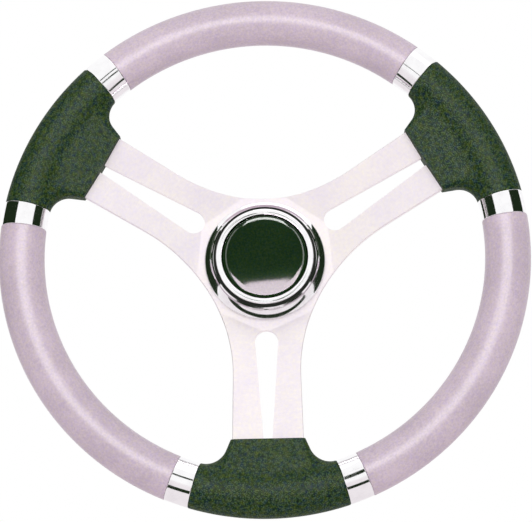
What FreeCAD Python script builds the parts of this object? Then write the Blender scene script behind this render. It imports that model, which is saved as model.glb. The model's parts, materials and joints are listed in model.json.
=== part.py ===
"""A three-spoke boat steering wheel, 350 mm across.

Every piece is drawn lying on the bench: the wheel's axis is up, the back face
of the hub boss is at height zero and the driver looks down on the front. The
placement of each finished piece then stands the wheel upright, with the front
towards -Y, the right spoke towards +X and the bottom spoke towards -Z.
"""

import FreeCAD
import Part

import math
import os

import Sketcher
from FreeCAD import Vector

SPOKES = 3
SCREWS = 6
SOCKET_SIDES = 6
UP = Vector(0, 0, 1)

# Lengths in millimetres that differ by less than this count as the same
TOLERANCE = 1e-3

# Driving sizes, in millimetres and degrees
DRIVING_SIZES = {
    # rim
    "rim_radius": 160,
    "section_radius": 15,
    "core_radius": 5,
    "cast_gap": 0.1,
    "dish": 21,
    # what covers the rim
    "spoke_grip_angle": 34.8,
    "collar_length": 15,
    "collar_wall": 1.5,
    "spigot_gap": 0.2,
    "edge_round": 0.5,
    # web of a spoke grip
    "web_length": 36.5,
    "web_side": 1.9,
    "web_spread": 12.3,
    "web_skin": 1.1,
    "web_nose_front": 3,
    "web_root_back": 10,
    "web_root_front": 11,
    "web_nose_round": 3.2,
    "web_root_round": 7,
    "web_blend": 14,
    # spoke plate
    "plate_seat": 28,
    "plate_thick": 4,
    "plate_border": 2.8,
    "crease_border": 3.8,
    "crease_turn_angle": 25,
    "bend_round": 6,
    "outline_round": 0.4,
    "spoke_half_width": 22.3,
    "spoke_flare_angle": 1.1,
    "slot_border": 3.3,
    "slot_half_width": 7.7,
    "slot_overlap": 6.5,
    "slot_tip_half_width": 2.4,
    "weld_gap": 0.1,
    # hub boss
    "boss_back_radius": 17.5,
    "boss_root_radius": 21,
    "boss_fillet": 4,
    "boss_neck": 1,
    "flange_thick": 9,
    "flange_border": 10.8,
    "spigot_radius": 18.6,
    "spigot_wall": 3.1,
    "spigot_rise": 2,
    "nut_recess_depth": 4,
    "taper_big_radius": 9.525,
    "relief_gap": 0.35,
    "relief_depth": 5,
    "key_width": 4.8,
    "key_depth": 2.375,
    "corner_chamfer": 0.8,
    # hub screws
    "screw_radius": 2.5,
    "head_radius": 4.25,
    "head_height": 5,
    "head_gap": 0.35,
    "socket_flats": 4,
    "socket_depth": 2.5,
    "thread_gap": 0.05,
    "screw_clearance": 0.3,
    "screw_spare": 0.5,
    "hole_floor": 1,
    # cap retainer
    "retainer_thick": 2.5,
    "retainer_wall": 2.1,
    "retainer_flange": 1.8,
    # hub bezel
    "bezel_foot": 2.2,
    "bezel_foot_round": 0.4,
    "bezel_flank": 4.6,
    "bezel_low_angle": 24,
    "bezel_high_angle": 42,
    "bezel_wall": 0.9,
    "bezel_bevel": 0.6,
    "bezel_rise": 0.5,
    "bezel_gap": 1.9,
    # cap ring and cap
    "trim_gap": 0.2,
    "cap_ring_width": 3.9,
    "cap_ring_height": 3.4,
    "cap_ring_edge": 0.5,
    "cap_ring_tilt": 22,
    "cap_lip": 0.5,
    "cap_side": 0.6,
    "cap_dome_radius": 133,
    "cap_edge_round": 5,
    "cap_wall": 2,
    "cap_skirt": 3,
    "skirt_gap": 0.5,
}

# The helm shaft's taper narrows by one part in twelve, so its radius by half of that
TAPER = 1 / 24

os.makedirs("parts", exist_ok=True)
doc = FreeCAD.newDocument("boat_steering_wheel")
sheet = doc.addObject("Spreadsheet::Sheet", "sizes")
for row, (alias, number) in enumerate(DRIVING_SIZES.items(), start=1):
    sheet.set(f"A{row}", alias)
    sheet.set(f"B{row}", str(number))
    sheet.setAlias(f"B{row}", alias)
doc.recompute()


class Size:
    """A length or an angle: its number now, and the sheet formula behind it."""

    def __init__(self, number, formula=None):
        self.number = float(number)
        self.formula = formula if formula is not None else f"({number})"

    @staticmethod
    def of(value):
        return value if isinstance(value, Size) else Size(value)

    def join(self, sign, other, number):
        return Size(number, f"({self.formula} {sign} {other.formula})")

    def __add__(self, other):
        other = Size.of(other)
        return self.join("+", other, self.number + other.number)

    def __sub__(self, other):
        other = Size.of(other)
        return self.join("-", other, self.number - other.number)

    def __mul__(self, other):
        other = Size.of(other)
        return self.join("*", other, self.number * other.number)

    def __truediv__(self, other):
        other = Size.of(other)
        return self.join("/", other, self.number / other.number)

    def __radd__(self, other):
        return Size.of(other) + self

    def __rsub__(self, other):
        return Size.of(other) - self

    def __rmul__(self, other):
        return Size.of(other) * self

    def __neg__(self):
        return Size(-self.number, f"(-{self.formula})")


def size(alias):
    """The named driving size, read from the sheet."""
    return Size(float(sheet.get(alias)), f"sizes.{alias}")


def root(value):
    return Size(math.sqrt(value.number), f"sqrt({value.formula})")


def cosine(angle):
    angle = Size.of(angle)
    return Size(math.cos(math.radians(angle.number)), f"cos({angle.formula})")


def sine(angle):
    angle = Size.of(angle)
    return Size(math.sin(math.radians(angle.number)), f"sin({angle.formula})")


def bind(thing, prop, value):
    """Tie one property to the sheet."""
    thing.setExpression(prop, Size.of(value).formula)


# Heights that several pieces share
PLATE_BACK = size("plate_seat")
HUB_FACE = PLATE_BACK + size("plate_thick")
RIM_HEIGHT = HUB_FACE + size("dish")
FLANGE_BACK = PLATE_BACK - size("flange_thick")
HEAD_SEAT = HUB_FACE + size("retainer_thick")
TRIM_LAND = HEAD_SEAT + size("head_height") + size("skirt_gap") + size("cap_skirt")
FLANGE_SEAT = TRIM_LAND - size("retainer_flange")

# Radii of the hub, from the spigot outwards
SCREW_CIRCLE = size("spigot_radius") + size("head_gap") + size("head_radius")
RETAINER_INNER = SCREW_CIRCLE + size("head_radius") + size("head_gap")
RETAINER_OUTER = RETAINER_INNER + size("retainer_wall")
CAP_RADIUS = RETAINER_INNER + size("cap_lip")
CAP_RING_INNER = CAP_RADIUS + size("trim_gap")
CAP_RING_RADIUS = CAP_RING_INNER + size("cap_ring_width")
BEZEL_INNER = CAP_RING_RADIUS + size("bezel_gap")
BEZEL_NECK = BEZEL_INNER + size("bezel_wall")
BEZEL_RADIUS = BEZEL_NECK + size("bezel_flank") + size("bezel_foot_round")
HUB_OUTLINE = BEZEL_RADIUS + size("plate_border")
CREASE_DISTANCE = BEZEL_RADIUS + size("crease_border")

# The rim core runs in a channel through the mouldings
BORE_RADIUS = size("core_radius") + size("cast_gap")

# Directions of the spokes, counter-clockwise from +X as the driver sees them
GAP_HALF_ANGLE = 180 / SPOKES
BOTTOM = Size(270)
SPOKE_ANGLES = {
    "bottom": BOTTOM,
    "right": BOTTOM + 360 / SPOKES,
    "left": BOTTOM - 360 / SPOKES,
}

# The spoke plate rises from the hub to meet the rim core at mid height
CREASE_TURN = size("crease_turn_angle")
PLATE_REACH = size("rim_radius") - size("core_radius") - size("weld_gap")
CREASE_SPAN = PLATE_REACH * cosine(CREASE_TURN) - CREASE_DISTANCE
SLOPE = (size("dish") + size("plate_thick") / 2) / CREASE_SPAN
SLANT = root(1 + SLOPE * SLOPE)

# The web of a spoke grip runs from its nose into the middle of the rim's section
WEB_START = size("rim_radius") - size("web_length")
WEB_ROOT = size("rim_radius") - size("section_radius") / 2

# The nose reaches behind the rim's mid plane far enough to keep a skin behind the plate
PLATE_DROP = SLOPE * (PLATE_REACH - WEB_START) * cosine(CREASE_TURN)
WEB_NOSE_BACK = PLATE_DROP + size("plate_thick") * (SLANT - 1 / 2) + size("web_skin")


def along_rim(length):
    """The angle in degrees that a length along the rim's centre circle covers."""
    return length / size("rim_radius") * math.degrees(1)


COLLAR_ANGLE = along_rim(size("collar_length"))
RIM_GRIP_ANGLE = 360 / SPOKES - size("spoke_grip_angle") - 2 * COLLAR_ANGLE
SPIGOT_ANGLE = COLLAR_ANGLE - 2 * along_rim(size("spigot_gap"))


def stand_up(piece, spin=0):
    """Turn a finished piece about the wheel's axis and stand the wheel upright."""
    turn = (-Size.of(spin)).formula
    piece.setExpression("Placement", f"placement(vector(0; 0; 0); rotation(0; {turn}; 90))")


def new_body(name):
    return doc.addObject("PartDesign::Body", name)


def new_sketch(body, name, plane, height=None):
    """A sketch on one of the body's origin planes, raised along its normal if asked."""
    sketch = body.newObject("Sketcher::SketchObject", name)
    support = [item for item in body.Origin.OriginFeatures if item.Role == plane][0]
    sketch.AttachmentSupport = [(support, "")]
    sketch.MapMode = "FlatFace"
    if height is not None:
        bind(sketch, "AttachmentOffset.Base.z", height)
    return sketch


def hold(sketch, kind, geometry, point, value):
    """Hold one coordinate of a sketch point at its distance from the origin."""
    value = Size.of(value)
    index = sketch.addConstraint(Sketcher.Constraint(kind, -1, 1, geometry, point, value.number))
    bind(sketch, f"Constraints[{index}]", value)


def draw_circle(sketch, x, y, radius):
    """A circle with its centre and its radius held by the sheet."""
    x, y, radius = Size.of(x), Size.of(y), Size.of(radius)
    circle = Part.Circle(Vector(x.number, y.number, 0), UP, radius.number)
    geometry = sketch.addGeometry(circle)
    hold(sketch, "DistanceX", geometry, 3, x)
    hold(sketch, "DistanceY", geometry, 3, y)
    index = sketch.addConstraint(Sketcher.Constraint("Radius", geometry, radius.number))
    bind(sketch, f"Constraints[{index}]", radius)


class Outline:
    """A closed outline of lines and arcs whose corners are held by the sheet.

    The first side starts at the given corner and the last side is a line back to it.
    """

    def __init__(self, x, y):
        self.corners = [(Size.of(x), Size.of(y))]
        self.sides = []

    def line(self, x, y):
        self.corners.append((Size.of(x), Size.of(y)))
        self.sides.append(None)
        return self

    def arc(self, centre_x, centre_y, x, y, clockwise=False):
        """An arc about a centre to the next corner."""
        self.corners.append((Size.of(x), Size.of(y)))
        self.sides.append((Size.of(centre_x), Size.of(centre_y), clockwise))
        return self

    def draw(self, sketch):
        self.sides.append(None)
        points = [Vector(x.number, y.number, 0) for x, y in self.corners]
        ends = []
        for number, side in enumerate(self.sides):
            start = points[number]
            finish = points[(number + 1) % len(points)]
            if side is None:
                geometry = sketch.addGeometry(Part.LineSegment(start, finish))
                ends.append((geometry, 1, 2))
                continue
            centre_x, centre_y, clockwise = side
            centre = Vector(centre_x.number, centre_y.number, 0)
            first, last = (finish, start) if clockwise else (start, finish)
            circle = Part.Circle(centre, UP, (start - centre).Length)
            angles = [math.atan2(p.y - centre.y, p.x - centre.x) for p in (first, last)]
            if angles[1] < angles[0]:
                angles[1] += 2 * math.pi
            geometry = sketch.addGeometry(Part.ArcOfCircle(circle, angles[0], angles[1]))
            ends.append((geometry, 2, 1) if clockwise else (geometry, 1, 2))
            hold(sketch, "DistanceX", geometry, 3, centre_x)
            hold(sketch, "DistanceY", geometry, 3, centre_y)
        for number, (x, y) in enumerate(self.corners):
            geometry, start, finish = ends[number]
            before = ends[number - 1]
            sketch.addConstraint(
                Sketcher.Constraint("Coincident", before[0], before[2], geometry, start)
            )
            arrived_by = self.sides[number - 1]
            if arrived_by is None:
                hold(sketch, "DistanceX", geometry, start, x)
                hold(sketch, "DistanceY", geometry, start, y)
                continue
            across = abs(x.number - arrived_by[0].number)
            upward = abs(y.number - arrived_by[1].number)
            if across > upward:
                hold(sketch, "DistanceY", geometry, start, y)
            else:
                hold(sketch, "DistanceX", geometry, start, x)


def revolve(body, sketch, angle, kind="PartDesign::Revolution"):
    """Turn a profile about the wheel's axis, half of the angle to each side."""
    feature = body.newObject(kind, f"{sketch.Name}_turned")
    feature.Profile = sketch
    feature.ReferenceAxis = (sketch, ["V_Axis"])
    bind(feature, "Angle", angle)
    feature.Midplane = True
    return feature


def pad(body, sketch, length):
    feature = body.newObject("PartDesign::Pad", f"{sketch.Name}_pad")
    feature.Profile = sketch
    bind(feature, "Length", length)
    return feature


def pocket(body, sketch, depth=None, upwards=False):
    """Cut a sketch into the body, downwards unless told, right through without a depth."""
    feature = body.newObject("PartDesign::Pocket", f"{sketch.Name}_cut")
    feature.Profile = sketch
    feature.Reversed = upwards
    if depth is None:
        feature.Type = "ThroughAll"
    else:
        bind(feature, "Length", depth)
    return feature


def repeat_round(body, features, count):
    """Repeat features about the wheel's axis."""
    pattern = body.newObject("PartDesign::PolarPattern", f"{features[0].Name}_repeated")
    pattern.Originals = features
    pattern.Axis = (features[0].Profile[0], ["N_Axis"])
    pattern.Angle = 360
    pattern.Occurrences = count
    body.Tip = pattern
    return pattern


def fillet_edges(body, base, edges, radius):
    feature = body.newObject("PartDesign::Fillet", f"{base.Name}_rounded")
    feature.Base = (base, edges)
    bind(feature, "Radius", radius)
    return feature


def edge_names(shape, wanted):
    """The names of the edges for which the given test is true."""
    return [f"Edge{i}" for i, edge in enumerate(shape.Edges, start=1) if wanted(edge)]


# Rim core: a round steel bar rolled into a ring
def make_rim_core():
    core = doc.addObject("Part::Torus", "rim_core")
    bind(core, "Radius1", size("rim_radius"))
    bind(core, "Radius2", size("core_radius"))
    height = (-RIM_HEIGHT).formula
    core.setExpression("Placement", f"placement(vector(0; {height}; 0); rotation(0; 0; 90))")
    return core


def is_end_circle(edge, radius):
    """True for a circle of this radius that is a section of the rim."""
    curve = edge.Curve
    if not isinstance(curve, Part.Circle):
        return False
    return abs(curve.Radius - radius) < TOLERANCE and abs(curve.Axis.z) < TOLERANCE


def make_tube(body, angle):
    """A stretch of the rim's round section with softened ends."""
    section = new_sketch(body, f"{body.Name}_section", "XZ_Plane")
    draw_circle(section, size("rim_radius"), RIM_HEIGHT, size("section_radius"))
    tube = revolve(body, section, angle)
    doc.recompute()
    radius = size("section_radius").number
    ends = edge_names(tube.Shape, lambda edge: is_end_circle(edge, radius))
    return fillet_edges(body, tube, ends, size("edge_round"))


def add_spigots_and_bore(body, angle):
    """Thinner ends that enter the collars, and the channel that holds the rim core."""
    spigot = new_sketch(body, f"{body.Name}_spigot", "XZ_Plane")
    spigot_radius = size("section_radius") - size("collar_wall") - size("spigot_gap")
    draw_circle(spigot, size("rim_radius"), RIM_HEIGHT, spigot_radius)
    revolve(body, spigot, angle + SPIGOT_ANGLE)
    bore = new_sketch(body, f"{body.Name}_bore", "XZ_Plane")
    draw_circle(bore, size("rim_radius"), RIM_HEIGHT, BORE_RADIUS)
    return revolve(body, bore, 360, "PartDesign::Groove")


# Rim grips: the grey mouldings between the spoke grips
def make_rim_grip(name, angle):
    body = new_body(name)
    make_tube(body, RIM_GRIP_ANGLE)
    add_spigots_and_bore(body, RIM_GRIP_ANGLE)
    stand_up(body, angle)
    return body


# Collars: bright sleeves that cover the joints between the mouldings
def make_collar(name, angle):
    body = new_body(name)
    section = new_sketch(body, f"{name}_section", "XZ_Plane")
    draw_circle(section, size("rim_radius"), RIM_HEIGHT, size("section_radius"))
    inner = size("section_radius") - size("collar_wall")
    draw_circle(section, size("rim_radius"), RIM_HEIGHT, inner)
    sleeve = revolve(body, section, COLLAR_ANGLE)
    doc.recompute()
    radius = size("section_radius").number
    ends = edge_names(sleeve.Shape, lambda edge: is_end_circle(edge, radius))
    fillet_edges(body, sleeve, ends, size("edge_round"))
    stand_up(body, angle)
    return body


def draw_web_section(sketch, half_width, back, front, radius):
    """A web section, from its back to its front height about the rim's mid plane."""
    low = RIM_HEIGHT - back
    high = RIM_HEIGHT + front
    inner = half_width - radius
    middle = Outline(0, low)
    middle.line(inner, low)
    middle.arc(inner, low + radius, half_width, low + radius)
    middle.line(half_width, high - radius)
    middle.arc(inner, high - radius, inner, high)
    middle.line(-inner, high)
    middle.arc(-inner, high - radius, -half_width, high - radius)
    middle.line(-half_width, low + radius)
    middle.arc(-inner, low + radius, -inner, low)
    middle.draw(sketch)


def is_tube(surface):
    """True for the skin of the rim's round section."""
    if not isinstance(surface, Part.Toroid):
        return False
    return abs(surface.MinorRadius - size("section_radius").number) < TOLERANCE


def touches_tube_and_web(shape, edge):
    """True where the web's skin meets the rim's round section."""
    if edge.isClosed():
        return False
    on_tube = [is_tube(face.Surface) for face in shape.ancestorsOfType(edge, Part.Face)]
    return any(on_tube) and not all(on_tube)


# Spoke grip form: the tube with its web over the spoke, before the plate's slot is cut
def make_spoke_grip_form():
    body = new_body("spoke_grip_form")
    make_tube(body, size("spoke_grip_angle"))
    half_width = size("spoke_half_width") + size("web_side")
    nose = new_sketch(body, "web_nose", "YZ_Plane", WEB_START)
    draw_web_section(
        nose,
        half_width,
        WEB_NOSE_BACK,
        size("web_nose_front"),
        size("web_nose_round"),
    )
    foot = new_sketch(body, "web_foot", "YZ_Plane", WEB_ROOT)
    draw_web_section(
        foot,
        half_width + size("web_spread"),
        size("web_root_back"),
        size("web_root_front"),
        size("web_root_round"),
    )
    web = body.newObject("PartDesign::AdditiveLoft", "web")
    web.Profile = nose
    web.Sections = [foot]
    web.Ruled = True
    doc.recompute()
    seam = edge_names(web.Shape, lambda edge: touches_tube_and_web(web.Shape, edge))
    fillet_edges(body, web, seam, size("web_blend"))
    add_spigots_and_bore(body, size("spoke_grip_angle"))
    return body


def draw_crease_hexagon(sketch, distance):
    """The six creases seen from the front: two for each spoke, a turn either side of it."""
    on_spoke = distance / cosine(CREASE_TURN)
    on_gap = distance / cosine(GAP_HALF_ANGLE - CREASE_TURN)
    outline = None
    for corner in range(2 * SPOKES):
        reach = on_spoke if corner % 2 else on_gap
        angle = 90 + corner * GAP_HALF_ANGLE
        x = reach * cosine(angle)
        y = reach * sine(angle)
        outline = Outline(x, y) if outline is None else outline.line(x, y)
    outline.draw(sketch)


# The pressed skins are drawn this many rim radii wide, past the plate's outer corners
DISH_REACH = 1.25


def make_dish(body, name, kind, flat_height, flat_distance):
    """A shallow six-sided funnel whose sides follow one skin of the pressed plate."""
    reach = size("rim_radius") * DISH_REACH
    rise = reach - flat_distance
    narrow = new_sketch(body, f"{name}_narrow", "XY_Plane", flat_height)
    draw_crease_hexagon(narrow, flat_distance)
    wide = new_sketch(body, f"{name}_wide", "XY_Plane", flat_height + rise * SLOPE)
    draw_crease_hexagon(wide, reach)
    dish = body.newObject(kind, name)
    dish.Profile = narrow
    dish.Sections = [wide]
    dish.Ruled = True
    return dish


def draw_window(sketch, gap):
    """The opening between two spokes, about the direction of +Y.

    A wide arc runs round the hub and turns smoothly into the two spoke edges.
    """
    half_width = size("spoke_half_width") + gap
    hub_edge = HUB_OUTLINE + gap
    flare = size("spoke_flare_angle")
    lean = flare + 90 - GAP_HALF_ANGLE
    rise = hub_edge * sine(GAP_HALF_ANGLE) - half_width
    radius = rise / (cosine(flare) - sine(GAP_HALF_ANGLE))
    centre = hub_edge + radius
    meet_x = radius * sine(lean)
    meet_y = centre - radius * cosine(lean)
    far_x = meet_x + size("rim_radius") * cosine(lean)
    far_y = meet_y + size("rim_radius") * sine(lean)
    top = size("rim_radius") * 2
    outline = Outline(far_x, top)
    outline.line(-far_x, top)
    outline.line(-far_x, far_y)
    outline.line(-meet_x, meet_y)
    outline.arc(0, centre, meet_x, meet_y)
    outline.line(far_x, far_y)
    outline.draw(sketch)


def draw_slot(sketch, gap):
    """The long slot down the middle of the bottom spoke, round at both ends."""
    inner_half = size("slot_half_width") - gap
    inner_y = -(CREASE_DISTANCE + size("slot_border") + size("slot_half_width"))
    tip_half = size("slot_tip_half_width") - gap
    tip_y = -(WEB_START + size("slot_overlap"))
    outline = Outline((tip_half + inner_half) / 2, (tip_y + inner_y) / 2)
    outline.line(inner_half, inner_y)
    outline.arc(0, inner_y, 0, inner_y + inner_half)
    outline.arc(0, inner_y, -inner_half, inner_y)
    outline.line(-tip_half, tip_y)
    outline.arc(0, tip_y, 0, tip_y - tip_half)
    outline.arc(0, tip_y, tip_half, tip_y)
    outline.draw(sketch)


# Spoke plate: one sheet pressed into a hub flat and three spokes of two legs each
def make_plate(name, gap):
    """The pressed plate, grown by a gap on every side when it is used as a cutter."""
    gap = Size.of(gap)
    body = new_body(name)
    thick = size("plate_thick") + 2 * gap
    back_crease = CREASE_DISTANCE + thick * (SLANT - 1) / SLOPE
    make_dish(body, f"{name}_back", "PartDesign::AdditiveLoft", PLATE_BACK - gap, back_crease)
    make_dish(body, f"{name}_front", "PartDesign::SubtractiveLoft", HUB_FACE + gap, CREASE_DISTANCE)
    doc.recompute()
    trim = new_sketch(body, f"{name}_trim", "XY_Plane")
    draw_circle(trim, 0, 0, PLATE_REACH + gap)
    draw_circle(trim, 0, 0, size("rim_radius") * 2)
    pocket(body, trim, upwards=True)
    window = new_sketch(body, f"{name}_window", "XY_Plane")
    draw_window(window, gap)
    windows = pocket(body, window, upwards=True)
    repeat_round(body, [windows], SPOKES)
    return body


def cut_slots(body, gap):
    """The slots that part each spoke of the plate into two legs."""
    slot = new_sketch(body, f"{body.Name}_slot", "XY_Plane")
    draw_slot(slot, Size.of(gap))
    slots = pocket(body, slot, upwards=True)
    repeat_round(body, [slots], SPOKES)


def is_crease(edge, height, distance):
    """True for a straight edge at this height whose line passes the axis at this distance."""
    if not isinstance(edge.Curve, Part.Line):
        return False
    first, last = [vertex.Point for vertex in edge.Vertexes]
    if abs(first.z - height) > TOLERANCE or abs(last.z - height) > TOLERANCE:
        return False
    run = last - first
    from_axis = abs(first.x * run.y - first.y * run.x) / run.Length
    return abs(from_axis - distance) < TOLERANCE


def round_creases(body, base, height, distance, radius):
    """Give one skin of the plate its bend radius along the six creases."""
    doc.recompute()
    creases = edge_names(base.Shape, lambda edge: is_crease(edge, height.number, distance.number))
    return fillet_edges(body, base, creases, radius)


def cut_hub_holes(body, opening_radius, hole_radius):
    """The opening for the boss and the ring of screw holes round it."""
    centre = new_sketch(body, "plate_opening", "XY_Plane")
    draw_circle(centre, 0, 0, opening_radius)
    pocket(body, centre, upwards=True)
    hole = new_sketch(body, "plate_hole", "XY_Plane")
    draw_circle(hole, SCREW_CIRCLE, 0, hole_radius)
    holes = pocket(body, hole, upwards=True)
    repeat_round(body, [holes], SCREWS)


def is_upright(face):
    """True for a face that runs along the wheel's axis, judged at its middle."""
    low_u, high_u, low_v, high_v = face.ParameterRange
    normal = face.normalAt((low_u + high_u) / 2, (low_v + high_v) / 2)
    return abs(normal.z) < TOLERANCE


def is_cut_edge(shape, edge):
    """True where the cut side of the sheet meets one of its two skins."""
    upright = [is_upright(face) for face in shape.ancestorsOfType(edge, Part.Face)]
    return any(upright) and not all(upright)


def round_outline(body, base):
    """Take the sharpness off both edges of the sheet's outline."""
    doc.recompute()
    edges = edge_names(base.Shape, lambda edge: is_cut_edge(base.Shape, edge))
    fillet_edges(body, base, edges, size("outline_round"))


# Spoke plate: the pressed sheet with its bend radii, slots, hub opening and screw holes
def make_spoke_plate():
    body = make_plate("spoke_plate", 0)
    bent = round_creases(body, body.Tip, HUB_FACE, CREASE_DISTANCE, size("bend_round"))
    outer_bend = size("bend_round") + size("plate_thick")
    back_crease = CREASE_DISTANCE + size("plate_thick") * (SLANT - 1) / SLOPE
    pressed = round_creases(body, bent, PLATE_BACK, back_crease, outer_bend)
    round_outline(body, pressed)
    cut_slots(body, 0)
    opening = size("spigot_radius") + size("trim_gap")
    hole = size("screw_radius") + size("screw_clearance")
    cut_hub_holes(body, opening, hole)
    stand_up(body)
    return body


# Hub boss: turned from the back face to the spigot, with a taper bore and a keyway
def make_hub_boss():
    body = new_body("hub_boss")
    profile = new_sketch(body, "boss_profile", "XZ_Plane")
    chamfer = size("corner_chamfer")
    cone_end = FLANGE_BACK - size("boss_fillet") - size("boss_neck")
    flange_radius = SCREW_CIRCLE + size("screw_radius") + size("flange_border")
    spigot_top = HUB_FACE + size("spigot_rise")
    recess_radius = size("spigot_radius") - size("spigot_wall")
    nut_seat = spigot_top - size("nut_recess_depth")
    relief_radius = size("taper_big_radius") + size("relief_gap")
    small_radius = size("taper_big_radius") - (nut_seat - size("relief_depth")) * TAPER
    outline = Outline(relief_radius, 0)
    outline.line(size("boss_back_radius") - chamfer, 0)
    outline.line(size("boss_back_radius"), chamfer)
    outline.line(size("boss_root_radius"), cone_end)
    outline.line(size("boss_root_radius"), FLANGE_BACK)
    outline.line(flange_radius - chamfer, FLANGE_BACK)
    outline.line(flange_radius, FLANGE_BACK + chamfer)
    outline.line(flange_radius, PLATE_BACK)
    outline.line(size("spigot_radius"), PLATE_BACK)
    outline.line(size("spigot_radius"), spigot_top)
    outline.line(recess_radius, spigot_top)
    outline.line(recess_radius, nut_seat)
    outline.line(small_radius, nut_seat)
    outline.line(size("taper_big_radius"), size("relief_depth"))
    outline.line(relief_radius, size("relief_depth"))
    outline.draw(profile)
    turned = revolve(body, profile, 360)
    key = new_sketch(body, "key_slot", "XY_Plane")
    half_key = size("key_width") / 2
    key_reach = size("taper_big_radius") + size("key_depth")
    slot = Outline(-half_key, 0)
    slot.line(half_key, 0)
    slot.line(half_key, key_reach)
    slot.line(-half_key, key_reach)
    slot.draw(key)
    pocket(body, key, upwards=True)
    hole = new_sketch(body, "tapped_hole", "XY_Plane", PLATE_BACK)
    draw_circle(hole, SCREW_CIRCLE, 0, size("screw_radius") + size("thread_gap"))
    drilled = pocket(body, hole, size("flange_thick") - size("hole_floor"))
    holes = repeat_round(body, [drilled], SCREWS)
    doc.recompute()
    corner = [size("boss_root_radius").number, FLANGE_BACK.number]
    roots = edge_names(holes.Shape, lambda edge: is_level_circle(edge, *corner))
    fillet_edges(body, holes, roots, size("boss_fillet"))
    stand_up(body)
    return body


def is_level_circle(edge, radius, height):
    """True for a circle about the wheel's axis with this radius and height."""
    curve = edge.Curve
    if not isinstance(curve, Part.Circle) or abs(curve.Radius - radius) > TOLERANCE:
        return False
    return curve.Center.distanceToPoint(Vector(0, 0, height)) < TOLERANCE


# Hub screws: six socket screws, kept together as one set
def make_hub_screws():
    body = new_body("hub_screws")
    body.AllowCompound = True
    tip = FLANGE_BACK + size("hole_floor") + size("screw_spare")
    shank = new_sketch(body, "shank", "XY_Plane", tip)
    draw_circle(shank, SCREW_CIRCLE, 0, size("screw_radius"))
    shank_pad = pad(body, shank, HEAD_SEAT - tip)
    head = new_sketch(body, "head", "XY_Plane", HEAD_SEAT)
    draw_circle(head, SCREW_CIRCLE, 0, size("head_radius"))
    head_pad = pad(body, head, size("head_height"))
    socket = new_sketch(body, "socket", "XY_Plane", HEAD_SEAT + size("head_height"))
    reach = size("socket_flats") / 2 / cosine(180 / SOCKET_SIDES)
    hexagon = None
    for corner in range(SOCKET_SIDES):
        angle = 360 / SOCKET_SIDES * corner
        x = SCREW_CIRCLE + reach * cosine(angle)
        y = reach * sine(angle)
        hexagon = Outline(x, y) if hexagon is None else hexagon.line(x, y)
    hexagon.draw(socket)
    socket_cut = pocket(body, socket, size("socket_depth"))
    repeat_round(body, [shank_pad, head_pad, socket_cut], SCREWS)
    stand_up(body)
    return body


# Cap retainer: a moulded cup under the screw heads, whose flange clamps the bezel down
def make_cap_retainer():
    body = new_body("cap_retainer")
    profile = new_sketch(body, "retainer_profile", "XZ_Plane")
    opening = size("spigot_radius") + size("trim_gap")
    flange = BEZEL_INNER - size("trim_gap")
    outline = Outline(opening, HUB_FACE)
    outline.line(RETAINER_OUTER, HUB_FACE)
    outline.line(RETAINER_OUTER, FLANGE_SEAT)
    outline.line(flange, FLANGE_SEAT)
    outline.line(flange, TRIM_LAND)
    outline.line(RETAINER_INNER, TRIM_LAND)
    outline.line(RETAINER_INNER, HEAD_SEAT)
    outline.line(opening, HEAD_SEAT)
    outline.draw(profile)
    revolve(body, profile, 360)
    hole = new_sketch(body, "retainer_hole", "XY_Plane")
    draw_circle(hole, SCREW_CIRCLE, 0, size("screw_radius") + size("screw_clearance"))
    drilled = pocket(body, hole, upwards=True)
    repeat_round(body, [drilled], SCREWS)
    stand_up(body)
    return body


# Hub bezel: a thin bright ring with a rounded foot on the plate, a hollow flank, a
# bevelled neck, and a lip inside that the retainer's flange holds
def make_hub_bezel():
    body = new_body("hub_bezel")
    profile = new_sketch(body, "bezel_profile", "XZ_Plane")
    wall = size("bezel_wall")
    foot_round = size("bezel_foot_round")
    foot_top = HUB_FACE + size("bezel_foot")
    crest = BEZEL_RADIUS - foot_round
    low = size("bezel_low_angle")
    high = size("bezel_high_angle")
    hollow = size("bezel_flank") / (sine(high) - sine(low))
    centre_x = crest + hollow * sine(low)
    centre_z = foot_top + hollow * cosine(low)
    flank_top = centre_z - hollow * cosine(high)
    inner_foot = BEZEL_RADIUS - wall
    inner_hollow = hollow + wall
    foot_run = centre_x - inner_foot
    neck_run = centre_x - BEZEL_INNER
    inner_low = centre_z - root(inner_hollow * inner_hollow - foot_run * foot_run)
    inner_high = centre_z - root(inner_hollow * inner_hollow - neck_run * neck_run)
    lip = RETAINER_OUTER + size("trim_gap")
    lip_back = FLANGE_SEAT - wall
    neck_top = TRIM_LAND + size("bezel_rise")
    outline = Outline(inner_foot, HUB_FACE)
    outline.line(BEZEL_RADIUS, HUB_FACE)
    outline.line(BEZEL_RADIUS, foot_top - foot_round)
    outline.arc(crest, foot_top - foot_round, crest, foot_top)
    outline.arc(centre_x, centre_z, BEZEL_NECK, flank_top, clockwise=True)
    outline.line(BEZEL_NECK, neck_top - size("bezel_bevel"))
    outline.line(BEZEL_INNER, neck_top)
    outline.line(BEZEL_INNER, FLANGE_SEAT)
    outline.line(lip, FLANGE_SEAT)
    outline.line(lip, lip_back)
    outline.line(BEZEL_INNER, lip_back)
    outline.line(BEZEL_INNER, inner_high)
    outline.arc(centre_x, centre_z, inner_foot, inner_low)
    outline.draw(profile)
    revolve(body, profile, 360)
    stand_up(body)
    return body


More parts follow.
